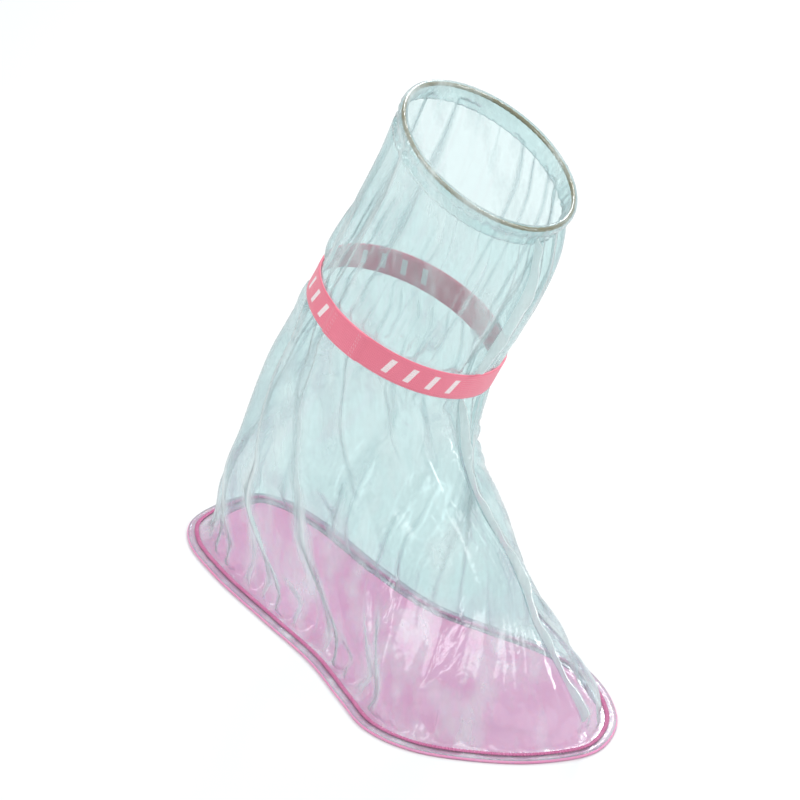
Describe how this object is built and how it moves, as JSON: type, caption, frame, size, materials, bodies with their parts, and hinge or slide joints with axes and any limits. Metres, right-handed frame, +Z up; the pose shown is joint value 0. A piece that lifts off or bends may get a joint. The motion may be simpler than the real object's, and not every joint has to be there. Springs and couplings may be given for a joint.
{
  "type": "shoe cover",
  "caption": "Clear film boot cover with a welded pink sole sheet, front seam fin, elastic hem and an elastic ankle strap.",
  "frame": {"origin": "the heel seat, on the upper face of the sole sheet, where the wearer's heel stands", "axes": "+X to the toe, +Y to the inner side of the right foot, +Z up out of the sole"},
  "size_m": [0.3009, 0.1552, 0.2942],
  "materials": {
    "clear_film": "thin clear plastic film, crinkled, glossy",
    "pink_sheet": "pink flexible plastic sheet, satin",
    "weld_bead": "fused pink plastic, glossy",
    "tan_elastic": "covered elastic thread",
    "pink_webbing": "woven elastic webbing with a plain white bar pattern"
  },
  "bodies": {
    "root": {"sole_sheet": "pink_sheet", "sole_weld": "weld_bead", "upper_film": "clear_film", "front_seam": "clear_film", "top_elastic": "tan_elastic", "ankle_strap": "pink_webbing"}
  },
  "joints": []
}
